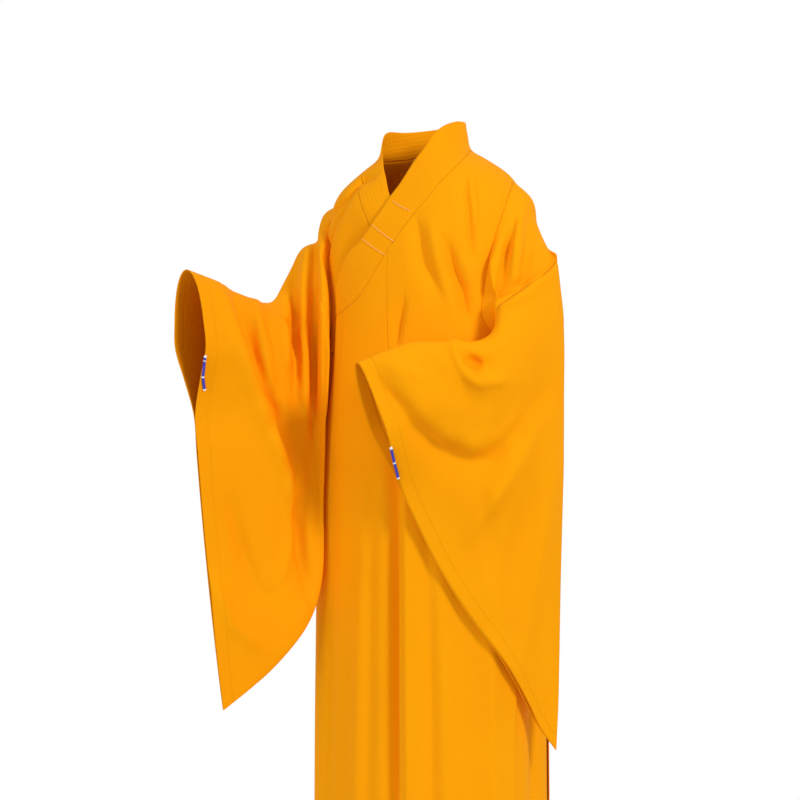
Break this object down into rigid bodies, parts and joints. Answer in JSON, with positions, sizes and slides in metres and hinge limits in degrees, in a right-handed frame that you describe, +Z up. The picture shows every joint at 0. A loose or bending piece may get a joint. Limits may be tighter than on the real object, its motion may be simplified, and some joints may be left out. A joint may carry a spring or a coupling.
{
  "type": "buddhist monk robe",
  "caption": "Long crossed-collar robe with very wide hanging sleeves, in the hollow shape it has when worn.",
  "frame": {"origin": "base of the neck, where the shoulders carry the robe", "axes": "+Z up along the body, the wearer faces -Y, and the wearer's left is +X"},
  "size_m": [0.6301, 0.5276, 1.4398],
  "materials": {
    "cloth": "matte plain weave",
    "blue_thread": "matte thread",
    "white_thread": "matte thread"
  },
  "bodies": {
    "root": {"back_left": "cloth", "back_right": "cloth", "front_left": "cloth", "front_overlap": "cloth", "front_right": "cloth", "gore_left": "cloth", "gore_right": "cloth", "collar": "cloth", "sleeve_left_upper": "cloth", "sleeve_left_front": "cloth", "sleeve_left_back": "cloth", "sleeve_right_upper": "cloth", "sleeve_right_front": "cloth", "sleeve_right_back": "cloth"}
  },
  "joints": []
}
